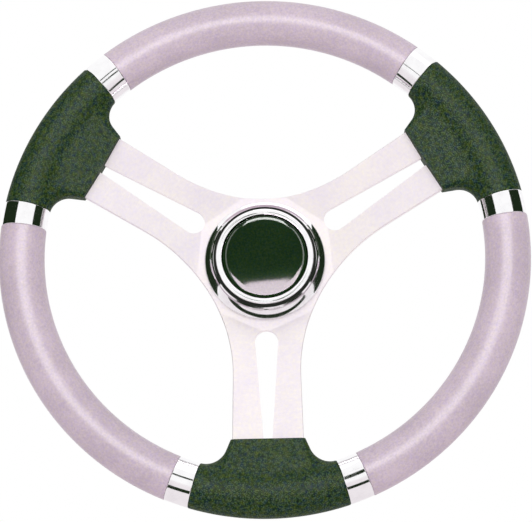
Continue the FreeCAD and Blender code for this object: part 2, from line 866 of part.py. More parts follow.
# Cap ring: the bright bead between the bezel and the cap, with a low crown and
# tightly rounded edges
def make_cap_ring():
    body = new_body("cap_ring")
    profile = new_sketch(body, "cap_ring_profile", "XZ_Plane")
    half = size("cap_ring_width") / 2
    middle = CAP_RING_INNER + half
    edge = size("cap_ring_edge")
    tilt = size("cap_ring_tilt")
    crown = edge + (half - edge) / sine(tilt)
    crown_centre = TRIM_LAND + size("cap_ring_height") - crown
    crown_run = crown * sine(tilt)
    crown_end = crown_centre + crown * cosine(tilt)
    edge_height = crown_centre + (crown - edge) * cosine(tilt)
    outline = Outline(CAP_RING_INNER, TRIM_LAND)
    outline.line(CAP_RING_RADIUS, TRIM_LAND)
    outline.line(CAP_RING_RADIUS, edge_height)
    outline.arc(CAP_RING_RADIUS - edge, edge_height, middle + crown_run, crown_end)
    outline.arc(middle, crown_centre, middle - crown_run, crown_end)
    outline.arc(CAP_RING_INNER + edge, edge_height, CAP_RING_INNER, edge_height)
    outline.draw(profile)
    revolve(body, profile, 360)
    stand_up(body)
    return body


# Centre cap: a domed disc with a rounded edge and a skirt that snaps into the retainer
def make_centre_cap():
    body = new_body("centre_cap")
    profile = new_sketch(body, "cap_profile", "XZ_Plane")
    dome = size("cap_dome_radius")
    edge_round = size("cap_edge_round")
    edge_x = CAP_RADIUS - edge_round
    edge_z = TRIM_LAND + size("cap_side")
    reach = dome - edge_round
    centre = edge_z - root(reach * reach - edge_x * edge_x)
    meet_x = edge_x * dome / reach
    meet_z = centre + (edge_z - centre) * dome / reach
    skirt_outer = RETAINER_INNER - size("trim_gap")
    skirt_inner = skirt_outer - size("cap_wall")
    skirt_end = TRIM_LAND - size("cap_skirt")
    inside = dome - size("cap_wall")
    inside_z = centre + root(inside * inside - skirt_inner * skirt_inner)
    outline = Outline(0, centre + dome)
    outline.arc(0, centre, meet_x, meet_z, clockwise=True)
    outline.arc(edge_x, edge_z, CAP_RADIUS, edge_z, clockwise=True)
    outline.line(CAP_RADIUS, TRIM_LAND)
    outline.line(skirt_outer, TRIM_LAND)
    outline.line(skirt_outer, skirt_end)
    outline.line(skirt_inner, skirt_end)
    outline.line(skirt_inner, inside_z)
    outline.arc(0, centre, 0, centre + inside)
    outline.draw(profile)
    revolve(body, profile, 360)
    stand_up(body)
    return body


# Spoke grips: the black mouldings over the spoke ends, each with the plate's slot
def make_spoke_grips():
    form = make_spoke_grip_form()
    cutter = make_plate("plate_space", size("cast_gap"))
    cut_slots(cutter, size("cast_gap"))
    turn = (-BOTTOM).formula
    cutter.setExpression("Placement", f"placement(vector(0; 0; 0); rotation({turn}; 0; 0))")
    grips = []
    for side, angle in SPOKE_ANGLES.items():
        grip = doc.addObject("Part::Cut", f"spoke_grip_{side}")
        grip.Base = form
        grip.Tool = cutter
        stand_up(grip, angle)
        grips.append(grip)
    return grips


def make_rim_grips():
    return [
        make_rim_grip("rim_grip_top", BOTTOM + 180),
        make_rim_grip("rim_grip_lower_left", BOTTOM - GAP_HALF_ANGLE),
        make_rim_grip("rim_grip_lower_right", BOTTOM + GAP_HALF_ANGLE),
    ]


def make_collars():
    offset = (size("spoke_grip_angle") + COLLAR_ANGLE) / 2
    return [
        make_collar("collar_left_upper", SPOKE_ANGLES["left"] - offset),
        make_collar("collar_left_lower", SPOKE_ANGLES["left"] + offset),
        make_collar("collar_right_upper", SPOKE_ANGLES["right"] + offset),
        make_collar("collar_right_lower", SPOKE_ANGLES["right"] - offset),
        make_collar("collar_bottom_left", BOTTOM - offset),
        make_collar("collar_bottom_right", BOTTOM + offset),
    ]


pieces = [
    make_rim_core(),
    make_spoke_plate(),
    make_hub_boss(),
    make_hub_screws(),
    make_cap_retainer(),
    make_hub_bezel(),
    make_cap_ring(),
    make_centre_cap(),
]
pieces += make_spoke_grips()
pieces += make_rim_grips()
pieces += make_collars()
doc.recompute()

for item in doc.Objects:
    if "Invalid" in item.State or "Error" in item.State:
        raise RuntimeError(f"{item.Label} did not build: {item.State}")
for piece in pieces:
    if piece.Shape.isNull() or not piece.Shape.isValid():
        raise RuntimeError(f"{piece.Label} has no valid shape")

for piece in pieces:
    piece.Shape.exportStep(f"parts/{piece.Label}.step")
    print(piece.Label, len(piece.Shape.Solids), "solid(s)", round(piece.Shape.Volume), "mm3")
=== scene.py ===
# %% [markdown]
# # A boat steering wheel in a small photo studio
#
# The wheel has a round rim of grey and black mouldings, bright collars over
# their joints, a pressed metal plate for its three spokes, and a hub with a
# glossy cap. Its CAD model is loaded as a fixed frame. The shapes could be
# built again here, but they are already the real ones, so every piece keeps
# its shape and its place, and gets its finish.
#
# Lengths are in metres. The wheel's axis is Y, the driver sits towards -Y,
# and +Z is up.

import json
import math

import bpy
import numpy as np
from mathutils import Matrix, Quaternion, Vector


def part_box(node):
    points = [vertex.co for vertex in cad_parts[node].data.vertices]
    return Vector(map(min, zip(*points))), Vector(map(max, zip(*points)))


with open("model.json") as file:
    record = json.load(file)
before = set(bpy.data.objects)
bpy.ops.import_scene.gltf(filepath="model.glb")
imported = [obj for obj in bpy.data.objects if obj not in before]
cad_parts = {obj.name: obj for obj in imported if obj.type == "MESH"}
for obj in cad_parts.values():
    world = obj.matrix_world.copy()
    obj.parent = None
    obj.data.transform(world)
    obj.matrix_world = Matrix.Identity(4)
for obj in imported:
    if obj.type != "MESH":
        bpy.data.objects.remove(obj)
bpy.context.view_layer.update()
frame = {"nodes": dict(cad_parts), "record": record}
print("nodes in the frame:", len(frame["nodes"]))

# %% [markdown]
# ## The middle of the rim
#
# The camera looks at the middle of the rim, and the lamps face it. That point
# is on the axis, half way through the rim core. It is read from the frame, so
# it moves with the CAD model.

# %% Read the middle of the rim
core_low, core_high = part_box("rim_core")
RIM_Y = (core_low[1] + core_high[1]) / 2
MIDDLE = Vector((0.0, RIM_Y, 0.0))
print(f"middle of the rim at y {1000 * RIM_Y:.1f} mm")

# %% [markdown]
# ## Shader maths as plain expressions
#
# A material is a graph of nodes. Wiring each Math node by hand hides the
# formula, so a small class wraps one output socket and lets Python's own
# operators add the nodes. A second class holds the graph and has the one
# method that adds any other node. A third is the graph of a material.


# %% A socket that can be used in sums
class Wire:
    """One output of a shader node, which adds Math nodes when it is used in a sum."""

    def __init__(self, graph, socket):
        self.graph = graph
        self.socket = socket

    def __add__(self, other):
        return self.graph.math("ADD", self, other)

    def __radd__(self, other):
        return self.graph.math("ADD", other, self)

    def __sub__(self, other):
        return self.graph.math("SUBTRACT", self, other)

    def __rsub__(self, other):
        return self.graph.math("SUBTRACT", other, self)

    def __mul__(self, other):
        return self.graph.math("MULTIPLY", self, other)

    def __rmul__(self, other):
        return self.graph.math("MULTIPLY", other, self)


print("a wire can be added, subtracted and multiplied")


# %% A graph of nodes
class Graph:
    """A node tree, and the one method that adds a node to it."""

    def __init__(self, tree):
        self.tree = tree
        tree.nodes.clear()

    def set(self, node, socket, value):
        """Give one input its value, or link a wire to it. A colour gets an alpha of 1."""
        target = node.inputs[socket]
        if isinstance(value, Wire):
            self.tree.links.new(value.socket, target)
        elif isinstance(value, tuple) and len(target.default_value) == 4:
            target.default_value = (*value, 1.0)
        else:
            target.default_value = value

    def add(self, kind, settings=None, inputs=None, output=0):
        """Add a node: its settings first, then the values or links of its inputs."""
        node = self.tree.nodes.new(kind)
        for name, value in (settings or {}).items():
            setattr(node, name, value)
        for socket, value in (inputs or {}).items():
            self.set(node, socket, value)
        return Wire(self, node.outputs[output]) if len(node.outputs) else None

    def math(self, operation, *values):
        """Add a Math node on one or two wires or numbers."""
        return self.add("ShaderNodeMath", {"operation": operation}, dict(enumerate(values)))


print("a graph can add nodes")


# %% A material while it is made
class Finish(Graph):
    """The graph of a material with one main shader."""

    def __init__(self, name, kind="ShaderNodeBsdfPrincipled", **constants):
        self.material = bpy.data.materials.new(name)
        self.material.use_nodes = True
        super().__init__(self.material.node_tree)
        self.shader = self.add(kind)
        self.feed(**constants)
        self.show(self.shader)

    def show(self, surface):
        """Make this wire the surface, in place of any before it."""
        for node in [node for node in self.tree.nodes if node.type == "OUTPUT_MATERIAL"]:
            self.tree.nodes.remove(node)
        self.add("ShaderNodeOutputMaterial", None, {"Surface": surface})

    def feed(self, **inputs):
        """Set or link inputs of the main shader, named with underscores for spaces."""
        for socket, value in inputs.items():
            self.set(self.shader.socket.node, socket.replace("_", " "), value)


print("a finish has a main shader and an output")

# %% [markdown]
# ## Patterns that several finishes use
#
# A picture could be wrapped round each piece, but it would stretch on the
# rim and show a seam. A pattern that is worked out in space has neither, so
# each one reads Object coordinates. Every piece's object sits at the origin,
# so these are the wheel's own coordinates in metres, and a pattern's scale is
# simply the number of its features in a metre.


# %% Coordinates
def place_of(graph):
    """The point on the surface, in the wheel's frame."""
    return graph.add("ShaderNodeTexCoord", output="Object")


def split(graph, vector):
    """The three coordinates of a vector as wires."""
    first = graph.add("ShaderNodeSeparateXYZ", None, {"Vector": vector})
    return [Wire(graph, socket) for socket in first.socket.node.outputs]


def join(graph, x, y, z):
    """A vector from three wires or numbers."""
    return graph.add("ShaderNodeCombineXYZ", None, {"X": x, "Y": y, "Z": z})


def reach(graph, x, y):
    """How far a point lies from an axis: the root of x squared plus y squared."""
    return graph.math("SQRT", x * x + y * y)


print("coordinates can be split, joined and measured")


# %% Noise and pebbles
def noise(graph, place, per_metre, detail, roughness=0.5, output=0):
    """Smooth random values from 0 to 1, with so many features in a metre."""
    inputs = {"Vector": place, "Scale": per_metre, "Detail": detail, "Roughness": roughness}
    return graph.add("ShaderNodeTexNoise", {"noise_dimensions": "3D"}, inputs, output)


def pebbles(graph, place, per_metre):
    """Distance to the nearest random point, which draws small rounded cells."""
    inputs = {"Vector": place, "Scale": per_metre}
    return graph.add("ShaderNodeTexVoronoi", {"feature": "F1"}, inputs)


print("patterns: noise, pebbles")

# %% [markdown]
# ## Stretching, mixing and bumping
#
# A noise seldom leaves the span from 0.3 to 0.7, so it is stretched before it
# drives a colour or a gloss. A Mix node has sockets of its own for each kind
# of value, told apart by their numbers. They are written once, in a table.

# %% Stretch a value
NOISE_LOW = 0.3
NOISE_HIGH = 0.7


def limit(graph, value, low, high, to_low=0.0, to_high=1.0):
    """Stretch low to high onto to_low to to_high, smoothly, and hold it at both ends."""
    settings = {"clamp": True, "interpolation_type": "SMOOTHSTEP"}
    source = {"Value": value, "From Min": low, "From Max": high}
    target = {"To Min": to_low, "To Max": to_high}
    return graph.add("ShaderNodeMapRange", settings, source | target)


def spread(graph, value, to_low=0.0, to_high=1.0):
    """Stretch a noise's usual span onto to_low to to_high."""
    return limit(graph, value, NOISE_LOW, NOISE_HIGH, to_low, to_high)


print(f"a noise is stretched from {NOISE_LOW} to {NOISE_HIGH}")

# %% Mix two values
MIX_FACTOR = 0
MIX_SOCKETS = {"VECTOR": (4, 5, 1), "RGBA": (6, 7, 2)}


def mix(graph, kind, factor, first, second, **settings):
    """The first value where the factor is 0, the second where it is 1."""
    first_socket, second_socket, result = MIX_SOCKETS[kind]
    inputs = {MIX_FACTOR: factor, first_socket: first, second_socket: second}
    return graph.add("ShaderNodeMix", {"data_type": kind, **settings}, inputs, result)


def mix_colours(graph, factor, first, second):
    """The first colour where the factor is 0, the second where it is 1."""
    return mix(graph, "RGBA", factor, first, second)


def mottle(graph, place, colour, per_metre, amount):
    """A colour with small clouds: by an amount, red and green drift together, and blue alone."""
    clouds = noise(graph, place, per_metre, detail=1.0, output="Color")
    yellow, blue = split(graph, clouds)[:2]
    cloud_colour = join(graph, yellow, yellow, blue)
    return mix(graph, "RGBA", amount, colour, cloud_colour, blend_type="LINEAR_LIGHT")


print("colours and vectors can be mixed")


# %% Tilt the surface
def bump(graph, height, depth, strength, base=None):
    """A normal that is tilted by a height from 0 to 1 of this real depth."""
    inputs = {"Height": height, "Distance": depth, "Strength": strength}
    if base:
        inputs["Normal"] = base
    return graph.add("ShaderNodeBump", None, inputs)


print("a height can tilt the surface")

# %% [markdown]
# ## The grey mouldings
#
# The three long rim grips are self-skinning foam: a warm, slightly pink grey
# with a soft sheen. The skin takes the fine texture of the mould. One colour
# would look like paint, so the tone drifts over some centimetres, and clouds
# of a millimetre or two lean to blue or to yellow. A fine grain over long
# waves, a tenth of a millimetre deep at most, tilts the surface.

# %% Make the grey moulding
SKIN_IOR = 1.46
GREY_LIGHT = (0.615, 0.510, 0.587)
GREY_DARK = (0.520, 0.429, 0.498)
GREY_CLOUDS = 0.085
GREY_ROUGHNESS = (0.27, 0.36)
GREY_DEPTH = 0.00012


def make_grey_moulding():
    """Foam skin: drifting tone, small clouds, fine grain and long shallow waves."""
    finish = Finish("grey_moulding", Specular_IOR_Level=0.25, IOR=SKIN_IOR)
    place = place_of(finish)
    drift = noise(finish, place, per_metre=38.0, detail=3.0)
    speck = noise(finish, place, per_metre=850.0, detail=1.0)
    grain = noise(finish, place, per_metre=1100.0, detail=3.0, roughness=0.6)
    waves = noise(finish, place, per_metre=90.0, detail=1.0)
    tone = limit(finish, drift * 0.5 + speck * 0.5, low=0.34, high=0.66)
    grey = mix_colours(finish, tone, GREY_DARK, GREY_LIGHT)
    finish.feed(
        Base_Color=mottle(finish, place, grey, per_metre=560.0, amount=GREY_CLOUDS),
        Roughness=spread(finish, grain * 0.5 + drift * 0.5, *GREY_ROUGHNESS),
        Normal=bump(finish, grain * 0.12 + waves * 0.88, GREY_DEPTH, strength=0.6),
    )
    return finish.material


grey_moulding = make_grey_moulding()
print("finish:", grey_moulding.name)

# %% [markdown]
# ## The black mouldings
#
# The spoke grips have the same kind of skin in a greenish black. Their mould
# is rougher: small pebbles about a millimetre across, with shallow valleys
# that hold a little less light. That shade is painted into the colour: the
# valleys are darker and the tops of the pebbles paler. Half of the tone comes
# from this painted shade, and the rest from a fine noise and a slow drift. A
# noise alone would give soft lumps, so the pebbles come from a pattern of
# cells, and the noise only breaks them up. The clouds lean to blue or to olive.

# %% Make the black moulding
BLACK_LIGHT = (0.045, 0.089, 0.032)
BLACK_DARK = (0.011, 0.030, 0.008)
BLACK_CLOUDS = 0.047
BLACK_ROUGHNESS = (0.56, 0.44)
PEBBLE_DEPTH = 0.0003


def make_black_moulding():
    """Pebbled skin: glossier on the pebbles, with painted shade making the valleys darker."""
    finish = Finish("black_moulding", Specular_IOR_Level=0.15, IOR=SKIN_IOR)
    place = place_of(finish)
    cells = pebbles(finish, place, per_metre=1000.0)
    fine = noise(finish, place, per_metre=900.0, detail=2.0)
    drift = noise(finish, place, per_metre=60.0, detail=3.0)
    height = limit(finish, 1.0 - cells, low=0.2, high=0.9)
    # Painted shade: the valleys are darker by half the tone, and the rest drifts at random.
    tone = limit(finish, height * 0.45 + fine * 0.45 + drift * 0.1, low=0.4, high=0.68)
    black = mix_colours(finish, tone, BLACK_DARK, BLACK_LIGHT)
    finish.feed(
        Base_Color=mottle(finish, place, black, per_metre=400.0, amount=BLACK_CLOUDS),
        Roughness=limit(finish, height * 0.5 + drift * 0.5, 0.2, 0.8, *BLACK_ROUGHNESS),
        Normal=bump(finish, height * 0.7 + fine * 0.3, PEBBLE_DEPTH, strength=0.8),
    )
    return finish.material


black_moulding = make_black_moulding()
print("finish:", black_moulding.name)

# %% [markdown]
# ## The satin spoke plate
#
# The plate is stainless steel with a fine satin finish, so pale that it is
# nearly white. It is a metal, so its colour is its reflection, spread wide by
# the grain. The grain is brushed round the axis, as a wheel is turned under
# a pad. Straight lines would be simpler, but they would run across the three
# spokes in three ways. The white leans to a warm tone in one place and to
# lilac in another, and a faint drift of roughness keeps the wide faces alive.


# %% Draw lines round the axis
def brushed(graph, place, per_metre, per_turn):
    """Noise on radius, angle and depth: long in the angle, so it draws lines round the axis."""
    x, y, z = split(graph, place)
    angle = graph.math("ARCTAN2", z, x)
    ring = join(graph, reach(graph, x, z) * per_metre, angle * per_turn, y * per_metre)
    return noise(graph, ring, per_metre=1.0, detail=2.0)


print("lines can run round the axis")

# %% Make the satin plate
SATIN_WARM = (0.985, 0.925, 0.915)
SATIN_LILAC = (0.905, 0.840, 0.892)
SATIN_CLOUDS = 0.055
SATIN_ROUGHNESS = (0.46, 0.58)
SATIN_DEPTH = 0.00002


def make_satin_plate():
    """Brushed metal: lines in colour, gloss and bump, over a slow drift of tone."""
    finish = Finish("satin_plate", Metallic=1.0)
    place = place_of(finish)
    lines = brushed(finish, place, per_metre=2600.0, per_turn=9.0)
    drift = noise(finish, place, per_metre=28.0, detail=2.0)
    fine = noise(finish, place, per_metre=2400.0, detail=1.0)
    tone = limit(finish, lines * 0.2 + fine * 0.2 + drift * 0.6, low=0.38, high=0.62)
    satin = mix_colours(finish, tone, SATIN_LILAC, SATIN_WARM)
    finish.feed(
        Base_Color=mottle(finish, place, satin, per_metre=500.0, amount=SATIN_CLOUDS),
        Roughness=spread(finish, lines * 0.4 + drift * 0.3 + fine * 0.3, *SATIN_ROUGHNESS),
        Normal=bump(finish, lines * 0.6 + fine * 0.4, SATIN_DEPTH, strength=0.5),
    )
    return finish.material


satin_plate = make_satin_plate()
print("finish:", satin_plate.name)

# %% [markdown]
# ## Bright plating
#
# The collars and the hub's rings are plated and polished. One low roughness
# would do for a mirror, but a perfect mirror looks like a computer drawing.
# So the gloss dulls slightly in patches, and fine scuffs from polishing
# soften the edges of what it mirrors.

# %% Make the bright plating
PLATING_CLEAN = (0.975, 0.97, 0.98)
PLATING_HAZE = (0.925, 0.915, 0.93)
PLATING_ROUGHNESS = (0.05, 0.12)
SCUFF_DEPTH = 0.000004


def make_bright_plating():
    """Polished metal: patches of haze in colour and gloss, scuffs in gloss and bump."""
    finish = Finish("bright_plating", Metallic=1.0)
    place = place_of(finish)
    haze = noise(finish, place, per_metre=160.0, detail=4.0)
    scuffs = noise(finish, place, per_metre=3200.0, detail=1.0)
    dulled = limit(finish, haze, low=0.35, high=0.7)
    finish.feed(
        Base_Color=mix_colours(finish, dulled, PLATING_CLEAN, PLATING_HAZE),
        Roughness=limit(finish, haze * 0.7 + scuffs * 0.3, 0.35, 0.7, *PLATING_ROUGHNESS),
        Normal=bump(finish, scuffs, SCUFF_DEPTH, strength=0.4),
    )
    return finish.material


bright_plating = make_bright_plating()
print("finish:", bright_plating.name)

# %% [markdown]
# ## The centre cap
#
# The cap is moulded in the same greenish black, but polished. Its colour is
# very dark, so the reflection of a lamp stands out on it. A long, low wave in
# the surface is what tells polished plastic from glass.
#
# A polished dome shows every fault of its mesh. At the very middle, where
# thin triangles meet in one point, their stored normals are off by a few
# degrees. The dome is part of a sphere, so its true normal is known: it
# points away from the sphere's centre. It is used within 3 mm of the middle.

# %% Find the dome's true normal
DOME_RADIUS = 0.133
DOME_CENTRE_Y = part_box("centre_cap")[0][1] + DOME_RADIUS
MIDDLE_RADIUS = 0.003


def dome_normal(graph, place):
    """The mesh's normal, but near the middle the sphere's: place minus centre, of unit length."""
    x, y, z = split(graph, place)
    outward = join(graph, x, y - DOME_CENTRE_Y, z)
    true_normal = graph.add("ShaderNodeVectorMath", {"operation": "NORMALIZE"}, {0: outward})
    mesh_normal = graph.add("ShaderNodeNewGeometry", output="Normal")
    off_middle = graph.math("GREATER_THAN", reach(graph, x, z), MIDDLE_RADIUS)
    return mix(graph, "VECTOR", off_middle, true_normal, mesh_normal)


print(f"the dome's centre is at y {1000 * DOME_CENTRE_Y:.1f} mm")

# %% Make the cap's gloss
CAP_DARK = (0.003, 0.0235, 0.002)
CAP_LIGHT = (0.005, 0.027, 0.003)
CAP_CLOUDS = 0.014
CAP_ROUGHNESS = (0.08, 0.1)
CAP_WAVE_DEPTH = 0.00002


def make_cap_gloss():
    """Polished black: a faint drift of colour, a little dust in the gloss, a long wave."""
    finish = Finish("cap_gloss", Specular_IOR_Level=0.1, IOR=1.5)
    place = place_of(finish)
    drift = noise(finish, place, per_metre=70.0, detail=2.0)
    wave = noise(finish, place, per_metre=110.0, detail=1.0)
    dust = noise(finish, place, per_metre=2500.0, detail=1.0)
    black = mix_colours(finish, spread(finish, drift), CAP_DARK, CAP_LIGHT)
    dome = dome_normal(finish, place)
    finish.feed(
        Base_Color=mottle(finish, place, black, per_metre=800.0, amount=CAP_CLOUDS),
        Roughness=spread(finish, drift * 0.6 + dust * 0.4, *CAP_ROUGHNESS),
        Normal=bump(finish, wave, CAP_WAVE_DEPTH, strength=0.5, base=dome),
    )
    return finish.material


cap_gloss = make_cap_gloss()
print("finish:", cap_gloss.name)

# %% [markdown]
# ## Machined and hidden pieces
#
# The boss behind the hub is turned aluminium, so a lathe's fine rings run
# round the axis on every face. The rim core, the screws and the cap's
# retainer are inside the wheel, but they are pieces of it all the same: bare
# rolled steel, zinc, and a plain black moulding, of which a thin line shows
# between the hub's bright rings. The three metals differ only in colour, in
# the width of their rings and in gloss, so one function makes them all.

# %% Make the bare metals
ALUMINIUM_LIGHT = (0.78, 0.78, 0.79)
ALUMINIUM_DARK = (0.66, 0.66, 0.68)
STEEL_LIGHT = (0.48, 0.49, 0.51)
STEEL_DARK = (0.36, 0.37, 0.39)
ZINC_LIGHT = (0.62, 0.63, 0.66)
ZINC_DARK = (0.50, 0.51, 0.54)
RING_SWING = 0.06
RING_DEPTH = 0.00003


def make_metal(name, light, dark, per_metre, roughness):
    """A bare metal whose colour and gloss follow the tool's rings."""
    finish = Finish(name, Metallic=1.0)
    place = place_of(finish)
    rings = brushed(finish, place, per_metre, per_turn=0.0)
    drift = noise(finish, place, per_metre=45.0, detail=3.0)
    tone = spread(finish, rings * 0.5 + drift * 0.5)
    finish.feed(
        Base_Color=mix_colours(finish, tone, dark, light),
        Roughness=spread(finish, rings, roughness - RING_SWING, roughness + RING_SWING),
        Normal=bump(finish, rings, RING_DEPTH, strength=0.5),
    )
    return finish.material


turned_aluminium = make_metal(
    "turned_aluminium", ALUMINIUM_LIGHT, ALUMINIUM_DARK, per_metre=2500.0, roughness=0.36
)
rolled_steel = make_metal("rolled_steel", STEEL_LIGHT, STEEL_DARK, per_metre=900.0, roughness=0.4)
zinc_plate = make_metal("zinc_plate", ZINC_LIGHT, ZINC_DARK, per_metre=2500.0, roughness=0.32)
print("finishes:", turned_aluminium.name, rolled_steel.name, zinc_plate.name)

# %% Make the inner moulding
INNER_DARK = (0.008, 0.012, 0.007)
INNER_LIGHT = (0.02, 0.026, 0.018)
INNER_ROUGHNESS = (0.5, 0.65)
INNER_DEPTH = 0.00005


def make_inner_moulding():
    """Plain black plastic with an even, fine grain."""
    finish = Finish("inner_moulding", Specular_IOR_Level=0.3, IOR=SKIN_IOR)
    place = place_of(finish)
    grain = noise(finish, place, per_metre=900.0, detail=3.0)
    finish.feed(
        Base_Color=mix_colours(finish, grain, INNER_DARK, INNER_LIGHT),
        Roughness=spread(finish, grain, *INNER_ROUGHNESS),
        Normal=bump(finish, grain, INNER_DEPTH, strength=0.5),
    )
    return finish.material


inner_moulding = make_inner_moulding()
print("finish:", inner_moulding.name)

# %% [markdown]
# ## Every node gets its finish
#
# The record names a material slot for each node. The finishes could be given
# node by node, but by the slot's name a new node needs no new line here.

# %% Assign the finishes
FINISHES = {
    "grey_foam": grey_moulding,
    "black_foam": black_moulding,
    "satin_plate": satin_plate,
    "chrome": bright_plating,
    "cap_gloss": cap_gloss,
    "hub_casting": turned_aluminium,
    "core_steel": rolled_steel,
    "screw_steel": zinc_plate,
    "inner_plastic": inner_moulding,
}

for entry in frame["record"]["subparts"]:
    node = frame["nodes"][entry["node"]]
    node.data.materials.clear()
    node.data.materials.append(FINISHES[entry["material_slot"]])

# %% [markdown]
# ## The white room
#
# The wheel is seen against plain white. A stronger lamp could bleach the
# background, but it would bleach the wheel too, so the world itself is white
# for the camera and for rays off metal or through glass. For all other rays
# it is a little dimmer. It sheds most of the light from all round, and with
# the front box a colour that faces the camera renders about as it is written.

# %% White world
WORLD_LIGHT = 0.7
WHITE = (1.0, 1.0, 1.0)
RAYS_THAT_SEE = ("Is Camera Ray", "Is Glossy Ray", "Is Transmission Ray")

world = bpy.data.worlds.new("studio_world")
bpy.context.scene.world = world
world.use_nodes = True
room = Graph(world.node_tree)
straight, glossy, through = (
    room.add("ShaderNodeLightPath", output=ray) for ray in RAYS_THAT_SEE
)
sees = room.math("MAXIMUM", room.math("MAXIMUM", straight, glossy), through)
strength = WORLD_LIGHT + sees * (1.0 - WORLD_LIGHT)
sky = room.add("ShaderNodeBackground", None, {"Color": WHITE, "Strength": strength})
room.add("ShaderNodeOutputWorld", None, {"Surface": sky})
print("world light:", WORLD_LIGHT)

# %% [markdown]
# ## The floor
#
# A pale floor lies well below the camera's view and carries the wheel's
# shadow. A white backdrop curved up behind it would do the same as the world
# does, so there is none: with its distance from the axis the floor turns into
# the white of the world. The floor and the flags are sheets with a formula,
# so one function makes a mesh from a shape's two parameters.


# %% A surface from two parameters
def grid_surface(name, points, shape):
    """A mesh from shape(u, v), which maps u and v from 0 to 1 onto points in metres."""
    steps = np.linspace(0, 1, points)
    u, v = np.meshgrid(steps, steps, indexing="ij")
    places = np.stack(shape(u, v), axis=-1).reshape(-1, 3)
    index = np.arange(points * points).reshape(points, points)
    corners = [index[:-1, :-1], index[1:, :-1], index[1:, 1:], index[:-1, 1:]]
    faces = np.stack(corners, axis=-1).reshape(-1, 4)
    mesh = bpy.data.meshes.new(name)
    mesh.from_pydata(places.tolist(), [], faces.tolist())
    mesh.update()
    sheet = bpy.data.objects.new(name, mesh)
    bpy.context.scene.collection.objects.link(sheet)
    return sheet


print("a sheet can be made from a formula")

# %% Pale floor that fades into the white
FLOOR_HEIGHT = -0.62
FLOOR_REACH = 6.0
FLOOR_POINTS = 3
FLOOR_LIGHT = (0.95, 0.81, 0.88)
FLOOR_DARK = (0.92, 0.78, 0.85)
FADE_FROM = 1.0
FADE_TO = 3.0
FADE_LEAST = 0.55


def floor_shape(u, v):
    """A level square about the axis: x and y run from -reach to +reach."""
    x = (2 * u - 1) * FLOOR_REACH
    y = (2 * v - 1) * FLOOR_REACH
    return x, y, np.full_like(x, FLOOR_HEIGHT)


def make_floor_paper():
    """Matt paper that turns into a white glow with its distance from the axis."""
    finish = Finish("floor_paper", Roughness=0.9, Specular_IOR_Level=0.1)
    place = place_of(finish)
    x, y = split(finish, place)[:2]
    fibres = noise(finish, place, per_metre=60.0, detail=3.0)
    finish.feed(Base_Color=mix_colours(finish, fibres, FLOOR_DARK, FLOOR_LIGHT))
    glow = finish.add("ShaderNodeEmission", None, {"Color": WHITE, "Strength": 1.0})
    fade = limit(finish, reach(finish, x, y), FADE_FROM, FADE_TO, FADE_LEAST, 1.0)
    finish.show(finish.add("ShaderNodeMixShader", None, {0: fade, 1: finish.shader, 2: glow}))
    return finish.material


floor = grid_surface("studio_floor", FLOOR_POINTS, floor_shape)
floor.data.materials.append(make_floor_paper())
print("floor at", FLOOR_HEIGHT, "m")

# %% [markdown]
# ## Lamps
#
# One soft box overhead lights everything and throws the shadow on the floor.
# The others light only the pieces that need them, as a photographer flags a
# lamp off the rest. In Blender that is light linking: a lamp gets a
# collection of the objects that it may light. Where a lamp is there for its
# mirror image alone, it is hidden from diffuse rays as well.
#
# The front box lights what faces the camera, so that the round mouldings
# darken towards their sides, and the plate box does the same for the spokes.
# The main box draws the long highlight along the mouldings, and would bleach
# the metal. The four cap boxes are seen only in the glossy cap: a crescent
# along its lower side, a thin arc on its upper edge, and a faint line on its
# edge at the left and the right.


# %% A soft lamp that faces the wheel
def direction(azimuth, elevation):
    """A unit vector from two angles in degrees: (sin a cos e, -cos a cos e, sin e)."""
    a = math.radians(azimuth)
    e = math.radians(elevation)
    return Vector((math.sin(a) * math.cos(e), -math.cos(a) * math.cos(e), math.sin(e)))


def add_lamp(
    name, angles, distance, size, watts, nodes=(), mirrored_only=False, tilt=0.0, tint=WHITE
):
    """A rectangular lamp that faces the middle of the rim and lights these nodes, or all."""
    away = direction(*angles)
    light = bpy.data.lights.new(name, "AREA")
    light.shape = "RECTANGLE"
    light.size, light.size_y = size
    light.energy = watts
    light.color = tint
    lamp = bpy.data.objects.new(name, light)
    bpy.context.scene.collection.objects.link(lamp)
    lamp.location = MIDDLE + away * distance
    level = away.to_track_quat("Z", "Y")
    lamp.rotation_euler = (level @ Quaternion((0, 0, 1), math.radians(tilt))).to_euler()
    lamp.visible_camera = False
    lamp.visible_diffuse = not mirrored_only
    if nodes:
        lit = bpy.data.collections.new(f"{name}_lights")
        for node in nodes:
            lit.objects.link(frame["nodes"][node])
        lamp.light_linking.receiver_collection = lit


print("a lamp can be placed by its angles")

# %% Place the lamps
# Each lamp has its two angles in degrees, its distance, its two sides and its watts.
MOULDINGS = [name for name in frame["nodes"] if "grip" in name]
PLATE = ["spoke_plate"]
CAP = ["centre_cap"]
LILAC = (1.0, 0.83, 0.96)

add_lamp("overhead_box", (25.0, 66.0), 1.8, (1.6, 1.2), 2.0)
add_lamp("main_box", (-2.0, 9.0), 1.8, (1.6, 0.85), 54.0, MOULDINGS, mirrored_only=True)
add_lamp("front_box", (0.0, 16.0), 1.1, (0.8, 0.8), 3.8, MOULDINGS)
add_lamp("plate_box", (-2.0, 12.0), 1.8, (1.3, 0.9), 2.6, PLATE)
add_lamp("low_cap_box", (4.0, -40.0), 0.5, (1.3, 0.74), 255.0, CAP, True, tilt=6.0, tint=LILAC)
add_lamp("high_cap_box", (3.0, 62.0), 1.0, (0.8, 0.62), 110.0, CAP, mirrored_only=True)
add_lamp("left_cap_box", (-60.0, 14.0), 0.6, (0.24, 0.9), 9.0, CAP, mirrored_only=True)
add_lamp("right_cap_box", (59.0, 14.0), 0.6, (0.24, 0.9), 14.0, CAP, mirrored_only=True)
print("lamps:", [lamp.name for lamp in bpy.data.lights])

